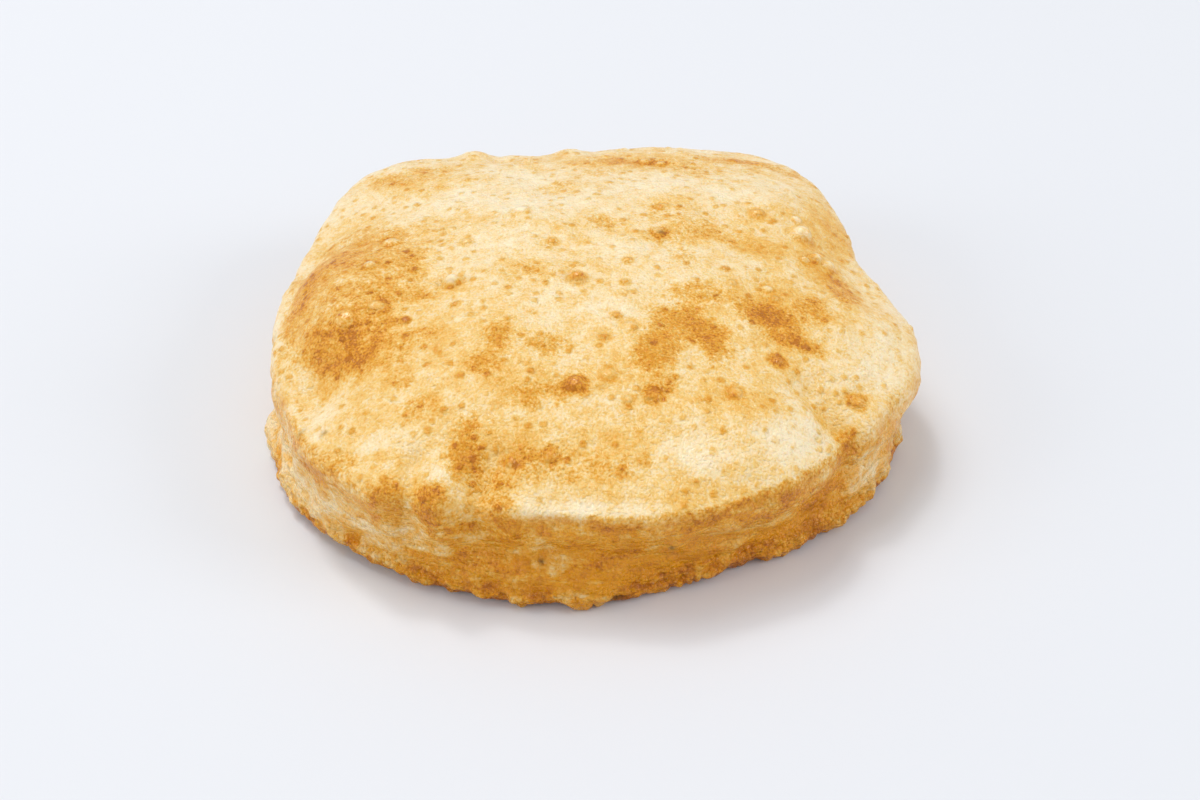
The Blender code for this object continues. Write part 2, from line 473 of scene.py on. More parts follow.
@dataclass
class Relief:
    """How far the skin stands proud of its smooth form, by zone. Lengths are millimetres."""

    dough: Waves = Waves(28, 28, 0.9, 3.7)
    lumps: Waves = Waves(10, 10, 0.40, 41.3)
    pimples: Waves = Waves(3.4, 3.4, 0.14, 57.1)
    pleats: Waves = Waves(42, 9, 1.4, 11.3)
    crags: Waves = Waves(17, 17, 1.0, 23.9)
    bubbles: Waves = Waves(7, 7, 0.95, 61.7)
    wrinkles: Waves = Waves(13, 3.4, 0.8, 71.9)
    wrinkle_level: float = 0.5
    crumbs: Waves = Waves(3.6, 3.6, 1.3, 83.3)
    crumb_level: float = 0.3
    underside_waves: Waves = Waves(28, 28, 1.5, 31.1)
    underside_level: float = 0.5
    underside_most: float = 1.5
    on_pleats: Zone = Zone(1.10, 1.25, 1.60, 1.75)
    on_side: Zone = Zone(1.08, 1.25, 1.90, 2.05)
    on_flake: Zone = Zone(1.20, 1.40, 1.90, 2.05)
    on_low_side: Zone = Zone(1.30, 1.50, 1.90, 2.05)
    on_lip: Zone = Zone(1.55, 1.75, 1.90, 2.05)
    # Heights between which the relief of the top comes in, reaches between which the flat spot ends, and
    # stations between which the underside begins
    top_comes_in: Range = (14, 30)
    flat_spot_ends: Range = (62, 90)
    underside_begins: Range = (1.9, 2.0)
    flake_angle: float = -167
    flake_height: float = 10
    flake_spread: float = 8
    flake_thickness: float = 1.5
    small_blisters: int = 240
    small_blister_reach: float = 112
    small_blister_radii: Range = (0.9, 1.9)
    small_blister_rise: float = 0.3
    seed: int = 41
    swells: tuple[Swell, ...] = (
        Swell(-83, -2, 25, 6.5),
        Swell(-79, -23, 12, 3.5),
        Swell(-89, -48, 12, -4),
        Swell(-54, -14, 13, -1.5),
        Swell(74, 48, 26, 4),
        Swell(98, 7, 12, -1.5),
        Swell(96, -30, 20, 2.5),
        Swell(56, -76, 18, 3),
        Swell(-78, 82, 20, 3),
        Swell(-44, -94, 8, 3.5),
        Swell(-62, -89, 9, 2.5),
        Swell(8, -25, 40, -1.5),
        Swell(-47, 96, 7, 2.6),
        Swell(-36, 93, 5, -2.4),
        Swell(-9, 99, 6, 1.5),
        Swell(0, 98, 4, -1.2),
        Swell(26, 99, 16, 1.6),
        Swell(-25, 31, 5, 1.7),
        Swell(81, 15, 6, 1.4),
        Swell(75, 28, 5, 1.3),
        Swell(-4, -61, 5, 1.1),
    )
    folds: tuple[Fold, ...] = (
        Fold(70, -54, 86, -74, 6, 4),
        Fold(-29, -86, -36, -102, 5, 2.5),
        Fold(-52, -84, -54, -102, 4, 2),
        Fold(-97, 38, -107, -12, 4, 1.2),
    )
    blisters: tuple[Blister, ...] = (
        Blister(-25, 32, 3.4, 0.7, Tone.PALE),
        Blister(-46, -10, 3.2, 2.8, Tone.PALE),
        Blister(-43, 14, 2.2, 0.8, Tone.GOLD),
        Blister(-44, -23, 1.8, 0.6, Tone.BROWN),
        Blister(-13, 12, 2.0, 0.9, Tone.BROWN),
        Blister(-4, -11, 3.2, 2.4, Tone.BROWN),
        Blister(24, 20, 2.8, 1.0, Tone.PALE),
        Blister(26, 38, 2.4, 0.9, Tone.GOLD),
        Blister(13, 0, 1.9, 0.8, Tone.BROWN),
        Blister(12, -13, 1.8, 0.8, Tone.BROWN),
        Blister(9, -31, 2.0, 0.8, Tone.BROWN),
        Blister(5, -41, 1.8, 0.7, Tone.BROWN),
        Blister(13, -36, 3.0, 0.5, Tone.GOLD),
        Blister(46, -2, 1.8, 0.6, Tone.BROWN),
        Blister(48, -10, 1.8, 0.5, Tone.GOLD),
        Blister(60, 37, 2.8, 1.1, Tone.GOLD),
        Blister(75, 29, 4.2, 2.4, Tone.PALE),
        Blister(74, 38, 2.3, 0.9, Tone.PALE),
        Blister(79, 15, 2.8, 1.8, Tone.PALE),
        Blister(84, 14, 3.0, 1.7, Tone.PALE),
        Blister(75, 12, 2.0, 0.9, Tone.PALE),
        Blister(60, -10, 2.3, 0.9, Tone.PALE),
        Blister(62, -15, 1.8, 0.6, Tone.GOLD),
        Blister(20, -65, 3.0, 0.9, Tone.BROWN),
        Blister(-4, -61, 3.2, 1.0, Tone.BROWN),
        Blister(6, -57, 2.8, 0.6, Tone.GOLD),
        Blister(60, -45, 2.4, 0.6, Tone.BROWN),
        Blister(85, -53, 3.0, 0.7, Tone.BROWN),
        Blister(21, 83, 2.8, 1.0, Tone.PALE),
        Blister(27, 80, 2.2, 0.8, Tone.PALE),
        Blister(-74, 2, 2.8, 1.0, Tone.PALE),
        Blister(-70, 19, 3.2, 1.0, Tone.PALE),
        Blister(-78, -26, 4.0, 1.2, Tone.PALE),
        Blister(-69, -21, 3.0, 0.8, Tone.PALE),
        Blister(-60, -28, 2.0, 0.6, Tone.BROWN),
        Blister(45, -62, 2.6, 0.7, Tone.GOLD),
        Blister(12, -67, 1.8, 0.6, Tone.GOLD),
        Blister(-23, -86, 2.0, 0.6, Tone.GOLD),
        Blister(-11, -85, 2.4, 0.7, Tone.GOLD),
    )

    def scattered_blisters(self) -> list[Blister]:
        """Spreads the small blisters that have no place of their own, by a seeded draw.

        Returns:
            The blisters.
        """
        draw = np.random.default_rng(self.seed)
        found = []
        for _ in range(self.small_blisters):
            angle = draw.uniform(-math.pi, math.pi)
            reach = self.small_blister_reach * math.sqrt(draw.uniform(0, 1))
            radius = draw.uniform(*self.small_blister_radii)
            rise = self.small_blister_rise * radius
            found.append(Blister(reach * math.cos(angle), reach * math.sin(angle), radius, rise))
        return found

    def blister_share(self, x: np.ndarray, y: np.ndarray) -> np.ndarray:
        """How far each place is from the nearest blister's middle, as a share of its radius."""
        return np.min([blister.share(x, y) for blister in self.blisters], axis=0)

    def top(self, places: np.ndarray) -> np.ndarray:
        """Relief of the upper skin: waves, lumps, pimples, swells, folds and blisters.

        Args:
            places: Points of the smooth form, in metres.

        Returns:
            How far each point stands proud, in metres.
        """
        x, y, z = places.T / MM
        proud = self.dough.relief(places) + self.lumps.relief(places) + self.pimples.relief(places)
        for form in (*self.swells, *self.folds, *self.blisters, *self.scattered_blisters()):
            proud += form.relief(x, y)
        return proud * smooth_step(z, *self.top_comes_in) * MM

    def side(self, places: np.ndarray, angle: np.ndarray, station: np.ndarray) -> np.ndarray:
        """Relief of the side: pleats, bubbles, wrinkles, the craggy lip and the flake.

        Args:
            places: Points of the smooth form, in metres.
            angle: Their compass angles, in radians.
            station: Their stations along the section.

        Returns:
            How far each point stands proud, in metres.
        """
        reach = MEAN_REACH * MM
        # The waves are read on a ring, so that they close at the back of the compass
        ring = np.stack([reach * np.cos(angle), reach * np.sin(angle), places[:, 2]], 1)
        flake_at = math.radians(self.flake_angle)
        flake_middle = (reach * math.cos(flake_at), reach * math.sin(flake_at), self.flake_height * MM)
        flake = bell(np.linalg.norm(ring - flake_middle, axis=1), self.flake_spread * MM)
        wrinkles = self.wrinkle_level - np.abs(self.wrinkles.pattern(ring))
        crumbs = np.abs(self.crumbs.pattern(ring)) - self.crumb_level
        on_lip = self.on_lip.share(station)
        return MM * (
            self.pleats.relief(ring) * self.on_pleats.share(station)
            + self.crags.relief(ring) * on_lip
            + self.flake_thickness * flake * self.on_flake.share(station)
            + self.bubbles.relief(ring) * self.on_side.share(station)
            + self.wrinkles.depth * wrinkles * self.on_low_side.share(station)
            + self.crumbs.depth * crumbs * on_lip
        )

    def underside(self, places: np.ndarray, station: np.ndarray) -> np.ndarray:
        """How far the skin lifts off the table between the flat spot and the lip.

        Args:
            places: Points of the skin, in metres.
            station: Their stations along the section.

        Returns:
            The lift of each point, in metres.
        """
        reach = np.hypot(places[:, 0], places[:, 1]) / MM
        off_the_spot = smooth_step(reach, *self.flat_spot_ends) * smooth_step(station, *self.underside_begins)
        lift = np.clip(self.underside_waves.pattern(places) + self.underside_level, 0, self.underside_most)
        return self.underside_waves.depth * MM * lift * off_the_spot


@dataclass
class Browning:
    """Where the crust is browned, golden, pale or charred; a few patches, the blisters' rings and the foot's
    edge are partly painted shade and highlight. Lengths are millimetres.
    """

    # The patches of the top, by tone
    browned: tuple[Patch, ...] = (
        Patch(-81, 1, 38, 23, 97, 0.60, 6),
        Patch(-98, -8, 24, 6, 82, 0.65),
        # partly browning and partly painted shade on the left dome's steep front
        Patch(-75, -38, 17, 6, -5, 0.70),
        Patch(-90, -30, 8, 7, 0, 0.55),
        # partly browning and partly painted shade along the left dome's lower right edge
        Patch(-66, -25, 10, 5, 100, 0.40),
        Patch(-60, 4, 14, 5, 95, 0.35),
        Patch(-64, 26, 14, 8, 0, 0.30),
        Patch(-84, 18, 10, 14, 0, 0.15),
        # partly browning and partly painted shade on the left dome's steep front
        Patch(-72, -45, 16, 5, -8, 0.45),
        Patch(-73, 71, 13, 8, 0, 0.62),
        Patch(-60, 77, 10, 5, 0, 0.50),
        Patch(-56, -15, 7, 5, 0, 0.50),
        Patch(-56, -36, 7, 5, 0, 0.50),
        Patch(-59, -55, 5, 4, 0, 0.45),
        Patch(-29, -41, 5, 7, 0, 0.85),
        Patch(-33, -52, 6, 5, 0, 0.65),
        Patch(-14, -44, 8, 5, -20, 0.80),
        Patch(-19, -6, 9, 5, -10, 0.50),
        Patch(-13, 55, 9, 5, 0, 0.50),
        Patch(0, 67, 13, 5, 20, 0.50),
        Patch(14, 81, 17, 6, 0, 0.70),
        Patch(40, 76, 14, 8, 0, 0.45),
        Patch(57, 88, 18, 5, -5, 0.65),
        Patch(77, 83, 10, 6, -30, 0.60),
        Patch(48, 61, 14, 6, -10, 0.25),
        Patch(5, 25, 9, 6, -20, 0.50),
        Patch(27, 34, 16, 11, 0, 0.32),
        Patch(25, 17, 8, 5, 0, 0.60),
        Patch(44, 22, 13, 8, -15, 0.45),
        Patch(34, 3, 6, 8, 0, 0.42),
        Patch(59, -25, 12, 7, -20, 0.88, 4),
        Patch(67, -35, 10, 4, -15, 0.85, 4),
        Patch(75, -17, 8, 7, 0, 0.60),
        Patch(90, 2, 6, 9, 20, 0.55),
        Patch(87, -6, 4, 7, 0, 0.60),
        Patch(41, -44, 6, 10, 0, 0.62),
        Patch(33, -33, 12, 8, -30, 0.88, 4),
        Patch(25, -31, 8, 6, 0, 0.40),
        Patch(36, -17, 13, 7, 10, 0.60),
        Patch(19, -49, 6, 8, 10, 0.85),
        Patch(24, -57, 4, 6, 10, 0.60),
        Patch(-14, -64, 12, 5, 10, 0.62),
        Patch(-4, -62, 5, 4, 0, 0.70),
        Patch(20, -65, 4, 4, 0, 0.70),
        Patch(-37, -84, 6, 7, 0, 0.90, 4),
        Patch(-37, -76, 4, 7, 0, 0.60),
        Patch(-11, -85, 5, 4, 20, 0.50),
        Patch(-19, -86, 4, 4, 0, 0.45),
        Patch(-52, -67, 8, 5, 0, 0.50),
        Patch(-46, -95, 5, 4.5, 0, 0.90, 4),
        Patch(-60, -92, 8, 3, -10, 0.25),
        Patch(-72, -80, 5, 4, 0, 0.40),
        Patch(-14, -12, 3, 3, 0, 0.40),
        Patch(60, -45, 4, 3, 0, 0.60),
        Patch(70, -45, 5, 3, 0, 0.30),
        Patch(85, -53, 4, 4, 0, 0.30),
        Patch(-31, -91, 8, 6, 0, 0.40),
        Patch(-25, -96, 5, 6, 0, 0.40),
        Patch(-5, -89, 18, 5, 0, 0.42),
        Patch(18, -87, 3, 3, 0, 0.50),
        Patch(10, -90, 3, 2.5, 0, 0.50),
        Patch(23, -43, 7, 8, 0, 0.85, 4),
        Patch(82, -66, 4, 3.5, 0, 0.35, 4),
        Patch(25, 19, 4, 3, 0, 0.70),
    )
    golden: tuple[Patch, ...] = (
        Patch(-82, -2, 24, 28, 0, 0.30),
        # painted shade in the hollow in front of the left dome
        Patch(-80, -47, 15, 6, 0, 0.60),
        Patch(-60, -91, 12, 5, -10, 0.60),
        Patch(-25, -93, 8, 12, 0, 0.85),
        Patch(60, 15, 11, 8, 0, 0.85),
        Patch(76, 38, 13, 22, 0, 0.70),
        Patch(82, 16, 10, 20, 0, 0.90),
        Patch(88, 50, 8, 24, 0, 0.60),
        Patch(79, -62, 8, 12, 35, 0.20),
        Patch(-78, -34, 18, 14, 0, 0.80),
        Patch(-66, -52, 14, 8, 0, 0.50),
        Patch(42, -62, 16, 12, 0, 0.35),
        Patch(2, -82, 24, 11, 0, 0.85),
        Patch(-6, -94, 14, 3, 0, 0.60),
        Patch(46, -90, 13, 5, 10, 0.35),
        Patch(-50, -34, 16, 30, 0, 0.40),
        Patch(-72, -66, 18, 8, -20, 0.35),
        Patch(-30, -62, 34, 22, 0, 0.35),
        Patch(30, -45, 30, 18, 0, 0.25),
        Patch(32, 32, 24, 16, 0, 0.15),
        Patch(-65, 60, 24, 12, 20, 0.12),
        Patch(68, -18, 18, 16, 0, 0.80),
        Patch(76, -63, 10, 3.2, -25, 0.95, 3),
        Patch(30, -68, 18, 9, 0, 0.50),
        Patch(-34, -98, 7, 5, 0, 0.65),
        Patch(10, 88, 44, 9, 0, 0.40),
        Patch(84, 30, 9, 16, 0, 0.35),
        Patch(20, -97, 16, 5, 3, 0.50),
        Patch(40, -95, 14, 5, 8, 0.40),
        Patch(74, 77, 12, 7, 0, 0.45),
        Patch(86, 2, 9, 15, 10, 0.80),
        Patch(70, -34, 14, 10, 0, 0.35),
        Patch(53, -64, 10, 3.5, 28, 0.60, 4),
    )
    pale: tuple[Patch, ...] = (
        Patch(8, -26, 12, 10, 0, 0.40),
        # the pale facet at the front right is partly painted highlight
        Patch(64, -74, 13, 8, 31, 0.85, 5),
        Patch(28, -86, 10, 5, 5, 0.70),
        # the pale crest along the front rim is partly painted highlight
        Patch(-4, -100.5, 16, 2.2, 1, 0.90),
        Patch(-40, 50, 26, 12, 10, 0.70),
        Patch(-30, 12, 18, 12, 0, 0.25),
        Patch(-20, 66, 20, 8, 0, 0.45),
        Patch(2, 36, 62, 15, 0, 0.28),
        Patch(82, -44, 8, 6, 0, 0.35),
        Patch(21, 53, 14, 9, 0, 0.85),
        Patch(50, 50, 20, 7, -8, 0.70),
        Patch(8, 8, 12, 8, 0, 0.60),
        Patch(2, -14, 14, 7, 0, 0.30),
        Patch(99, -28, 8, 12, 0, 0.25),
        Patch(68, 62, 7, 5, 0, 0.40),
        Patch(-80, -64, 12, 7, -40, 0.25),
        Patch(-62, -76, 10, 4, -15, 0.60),
        Patch(-45, -90, 5, 3, 0, 0.90),
        Patch(-104, 24, 6, 26, 0, 0.45),
        Patch(-109, -16, 5, 26, 0, 0.75),
        Patch(-77, -20, 9, 9, 0, 0.70),
        Patch(-79, -10, 9, 8, 0, 0.65),
        Patch(-72, 17, 7, 5, 0, 0.60),
        Patch(66, 70, 8, 6, 0, 0.50),
        Patch(77, 76, 7, 4, 0, 0.50),
    )
    charred: tuple[Patch, ...] = (
        Patch(25, 19, 1.2, 0.8, 0, 0.60),
        Patch(-82, -67, 1.0, 1.0, 0, 0.45),
    )
    # The marks of the side wall, by tone
    browned_marks: tuple[WallMark, ...] = (
        WallMark(-102.2, 29, 4.0, 3.5, 0.80),
        WallMark(-104.6, 23, 3.0, 2.5, 0.55),
        WallMark(-87.8, 23, 5.0, 2.0, 0.55),
        WallMark(-95.0, 25, 8.0, 4.0, 0.50),
        WallMark(-84.5, 32, 8.0, 3.0, 0.40),
        WallMark(-106.0, 14, 13, 1.8, 0.60),
        WallMark(-112.0, 18, 4.0, 2.5, 0.50),
        WallMark(-89.5, 15.5, 7.0, 1.5, 0.65),
        WallMark(-83.5, 19, 8.0, 1.7, 0.70),
        WallMark(-104.5, 33, 4.0, 3.0, 0.45),
        WallMark(-74.5, 5, 6.0, 2.0, 0.40),
        WallMark(-108.0, 4, 10, 3.0, 0.45),
        WallMark(-118.2, 6, 8.0, 3.0, 0.30),
        WallMark(-51.5, 28, 8.0, 4.0, 0.90),
        WallMark(-47.4, 16, 6.0, 3.5, 0.55),
        WallMark(-61.0, 27, 9.0, 3.5, 0.85),
        WallMark(-34.0, 33, 5.0, 2.5, 0.20),
        WallMark(-27.0, 36, 6.0, 3.0, 0.20),
        WallMark(-19.0, 34, 6.0, 3.0, 0.15),
        WallMark(-55.0, 8, 9.0, 2.0, 0.55),
        WallMark(-43.0, 5, 10.0, 3.0, 0.50),
        WallMark(-108.0, 28, 9.0, 5.0, 0.45),
        WallMark(-65.0, 14, 9.0, 1.6, 0.50),
        WallMark(-40.0, 10, 8.0, 2.0, 0.45),
        WallMark(-134.0, 36, 5.0, 3.5, 0.70),
        WallMark(-143.0, 27, 5.0, 3.0, 0.60),
        WallMark(-150.0, 24, 6.0, 2.5, 0.55),
        WallMark(-129.0, 33, 4.0, 3.0, 0.50),
        WallMark(-123.0, 35, 4.0, 2.5, 0.45),
        WallMark(-115.0, 27, 4.0, 2.5, 0.45),
        WallMark(-130.0, 6, 8.0, 2.5, 0.25),
    )
    pale_marks: tuple[WallMark, ...] = (
        WallMark(-97.0, 15, 5.0, 2.0, 0.40),
        WallMark(-167.0, 8, 10.0, 8.0, 0.80),
        WallMark(-139.0, 18, 7.0, 4.0, 0.60),
        WallMark(-163.0, 14, 9.0, 6.0, 0.65),
        WallMark(-152.0, 14, 26.0, 14.0, 0.70),
        WallMark(-126.0, 13, 14.0, 7.0, 0.35),
        WallMark(-36.0, 12, 7.0, 9.0, 0.45),
        WallMark(-28.0, 17, 10.0, 10.0, 0.40),
    )
    charred_marks: tuple[WallMark, ...] = (
        WallMark(-76.1, 22, 0.8, 1.4, 1.00),
        WallMark(-97.9, 17, 1.0, 0.8, 0.85),
        WallMark(-85.6, 3, 3.0, 1.0, 0.75),
        WallMark(-144.7, 36, 1.2, 0.8, 0.50),
    )
    # How strong the browned line under the rim is, round the compass
    rim_line: tuple[CompassSwell, ...] = (
        CompassSwell(-88, 12, 0.35),
        CompassSwell(-62, 16, 0.80),
        CompassSwell(-43, 8, 0.45),
        CompassSwell(-22, 9, 0.15),
        CompassSwell(-143, 10, 0.60),
        CompassSwell(-118, 8, 0.15),
        CompassSwell(60, 40, 0.40),
    )
    # How amber and oily the wall is, round the compass
    amber: tuple[CompassSwell, ...] = (
        CompassSwell(-90, 26, 1.00),
        CompassSwell(-57, 20, 0.95),
        CompassSwell(70, 60, 0.60),
    )
    on_top: Zone = Zone(-1.00, 0.00, 1.15, 1.30)
    on_wall: Zone = Zone(1.00, 1.05, 1.95, 2.10)
    on_underside: Zone = Zone(1.95, 2.10, 4.00, 5.00)
    # The tones of a blister's dome, which ends between two shares of its radius, and of the ring round it,
    # whose gold and brown are partly the crust's own tone and partly painted shade at the blister's foot
    dome_ends: Range = (0.55, 1.0)
    dome_strength: float = 0.85
    ring_gold_and_shade: float = 0.6
    ring_brown_and_shade: float = 0.12
    ring_spread: float = 0.35
    # The browned bands under the rim and along the foot, and the blotches underneath; the band along the foot
    # is partly painted contact shade. The levels, the blur and the depths of the ragged edges are stations.
    rim_line_starts: Range = (1.06, 1.09)
    rim_edge: Waves = Waves(9, 30, 0.06, 97.7)
    rim_edge_level: float = 1.19
    rim_edge_blur: float = 0.05
    foot_edge: Waves = Waves(12, 40, 0.05, 53.3)
    foot_edge_level: float = 1.83
    foot_edge_blur: float = 0.04
    foot_strength: float = 0.8
    underside_blotches: Waves = Waves(34, 34, 1, 5.9)
    blotches_come_in: Range = (0.05, 0.6)
    underside_strength: float = 0.75

    def paint(
        self, places: np.ndarray, angle: np.ndarray, station: np.ndarray, blisters: tuple[Blister, ...]
    ) -> dict[Tone, np.ndarray]:
        """How strong each tone is at each point of the skin.

        Args:
            places: Points of the smooth form, in metres.
            angle: Their compass angles, in radians.
            station: Their stations along the section.
            blisters: The blisters, which have a tone each and a golden ring that is partly painted shade.

        Returns:
            A strength between 0 and 1 for each tone and point.
        """
        x, y, z = places.T / MM
        missing = {tone: np.ones_like(x) for tone in Tone}
        on_top = self.on_top.share(station)
        patches = {
            Tone.BROWN: self.browned,
            Tone.GOLD: self.golden,
            Tone.PALE: self.pale,
            Tone.CHAR: self.charred,
        }
        for tone, group in patches.items():
            for patch in group:
                missing[tone] *= 1 - on_top * patch.cover(x, y)
        on_wall = self.on_wall.share(station)
        marks = {Tone.BROWN: self.browned_marks, Tone.PALE: self.pale_marks, Tone.CHAR: self.charred_marks}
        for tone, group in marks.items():
            for mark in group:
                missing[tone] *= 1 - on_wall * mark.cover(angle, z)
        for blister in blisters:
            share = blister.share(x, y)
            dome = on_top * (1 - smooth_step(share, *self.dome_ends))
            # the ring round each blister is partly its own gold and brown and partly painted shade at its
            # foot
            ring = on_top * bell(share - 1.0, self.ring_spread)
            missing[blister.tone] *= 1 - self.dome_strength * dome
            missing[Tone.GOLD] *= 1 - self.ring_gold_and_shade * ring
            missing[Tone.BROWN] *= 1 - self.ring_brown_and_shade * ring
        missing[Tone.BROWN] *= 1 - self.rim_band(places, angle, station)
        # painted contact shade along the foot, on top of its browning
        missing[Tone.BROWN] *= 1 - self.foot_band_and_shade(places, station)
        missing[Tone.BROWN] *= 1 - self.underside_brown(places, station)
        return {tone: 1 - share for tone, share in missing.items()}

    def rim_band(self, places: np.ndarray, angle: np.ndarray, station: np.ndarray) -> np.ndarray:
        """The browned band under the rim: its upper edge is crisp, and its lower edge is ragged.

        Args:
            places: Points of the smooth form, in metres.
            angle: Their compass angles, in radians.
            station: Their stations along the section.

        Returns:
            The band's strength at each point, from 0 to 1.
        """
        edge = self.rim_edge_level + self.rim_edge.relief(places)
        below = smooth_step(station - edge, -self.rim_edge_blur, self.rim_edge_blur)
        strength = np.clip(round_the_bread(angle, 0, self.rim_line), 0, 1)
        return strength * smooth_step(station, *self.rim_line_starts) * (1 - below)

    def foot_band_and_shade(self, places: np.ndarray, station: np.ndarray) -> np.ndarray:
        """The browned edge of the foot, which is partly painted contact shade and is ragged above.

        Args:
            places: Points of the smooth form, in metres.
            station: Their stations along the section.

        Returns:
            The edge's strength at each point, from 0 to 1.
        """
        edge = self.foot_edge_level + self.foot_edge.relief(places)
        below = smooth_step(station - edge, -self.foot_edge_blur, self.foot_edge_blur)
        return self.foot_strength * below * (1 - self.on_underside.share(station))

    def underside_brown(self, places: np.ndarray, station: np.ndarray) -> np.ndarray:
        """Browned patches of the underside, which are like those of the top but have no set places."""
        blotches = smooth_step(self.underside_blotches.relief(places), *self.blotches_come_in)
        return self.underside_strength * blotches * self.on_underside.share(station)


@dataclass
class NodeWork:
    """The node tree of one material while it is built, and the sockets found so far, by name."""

    tree: bpy.types.NodeTree
    found: dict[str, Socket] = field(default_factory=dict)

    def socket(self, value: Socket | str) -> Socket:
        """The socket itself, or the one found under a name."""
        return self.found[value] if isinstance(value, str) else value

    def ramp(self, value: Socket | str, low: float, high: float) -> Socket:
        """A smooth change from 0 at one value to 1 at the other.

        Args:
            value: The socket to look up.
            low: The value that gives 0.
            high: The value that gives 1; it may be the smaller one.

        Returns:
            The socket of the share.
        """
        node = add_node(
            self.tree,
            "ShaderNodeMapRange",
            {"interpolation_type": "SMOOTHSTEP"},
            {
                "Value": self.socket(value),
                "From Min": min(low, high),
                "From Max": max(low, high),
                "To Min": 0.0 if low < high else 1.0,
                "To Max": 1.0 if low < high else 0.0,
            },
        )
        return node.outputs["Result"]

    def weighed(self, start: float, weights: Weights, unit: float = 1.0) -> Socket:
        """A number plus each named socket times its weight.

        Args:
            start: The number.
            weights: Names of sockets and their weights.
            unit: The unit of the weights.

        Returns:
            The socket of the sum.
        """
        total = start
        for name, weight in weights:
            terms = {0: self.found[name], 1: weight * unit, 2: total}
            total = add_node(self.tree, "ShaderNodeMath", {"operation": "MULTIPLY_ADD"}, terms).outputs[0]
        return total

    def times(self, one: Socket | str, other: Socket | str) -> Socket:
        """The product of two sockets."""
        factors = {0: self.socket(one), 1: self.socket(other)}
        return add_node(self.tree, "ShaderNodeMath", {"operation": "MULTIPLY"}, factors).outputs[0]

    def blend(self, share: Socket | str, under: Socket, over: Socket | Colour) -> Socket:
        """One colour laid over another, as far as the share says."""
        colours = {0: self.socket(share), 6: under, 7: over}
        return add_node(self.tree, "ShaderNodeMix", {"data_type": "RGBA"}, colours).outputs[2]

    def tones(self, depth: Socket, stops: tuple[tuple[float, str], ...]) -> Socket:
        """Looks up how deep the crust is fried on a row of colours.

        Args:
            depth: 0 for the palest crust and 1 for the deepest.
            stops: Depths and their sRGB hex colours.

        Returns:
            The colour's socket.
        """
        node = add_node(self.tree, "ShaderNodeValToRGB", inputs={"Fac": depth})
        row = node.color_ramp.elements
        row[0].position, row[0].color = stops[0][0], linear_colour(stops[0][1])
        row[1].position, row[1].color = stops[-1][0], linear_colour(stops[-1][1])
        for position, code in stops[1:-1]:
            row.new(position).color = linear_colour(code)
        return node.outputs["Color"]

    def centred(self, pattern: Socket, middle: float = 0.5) -> Socket:
        """A pattern with its middle brought to 0."""
        terms = {0: pattern, 1: middle}
        return add_node(self.tree, "ShaderNodeMath", {"operation": "SUBTRACT"}, terms).outputs[0]

    def clouds(self, place: Socket, inputs: dict[str, float]) -> Socket:
        """A noise pattern that is even about 0."""
        node = add_node(self.tree, "ShaderNodeTexNoise", inputs={"Vector": place, **inputs})
        return self.centred(node.outputs["Fac"])

    def cells(self, spacing: float) -> bpy.types.Node:
        """Cells scattered over the skin, with their spacing in millimetres."""
        inputs = {"Vector": self.found["place"], "Scale": 1 / (spacing * MM)}
        return add_node(self.tree, "ShaderNodeTexVoronoi", inputs=inputs)


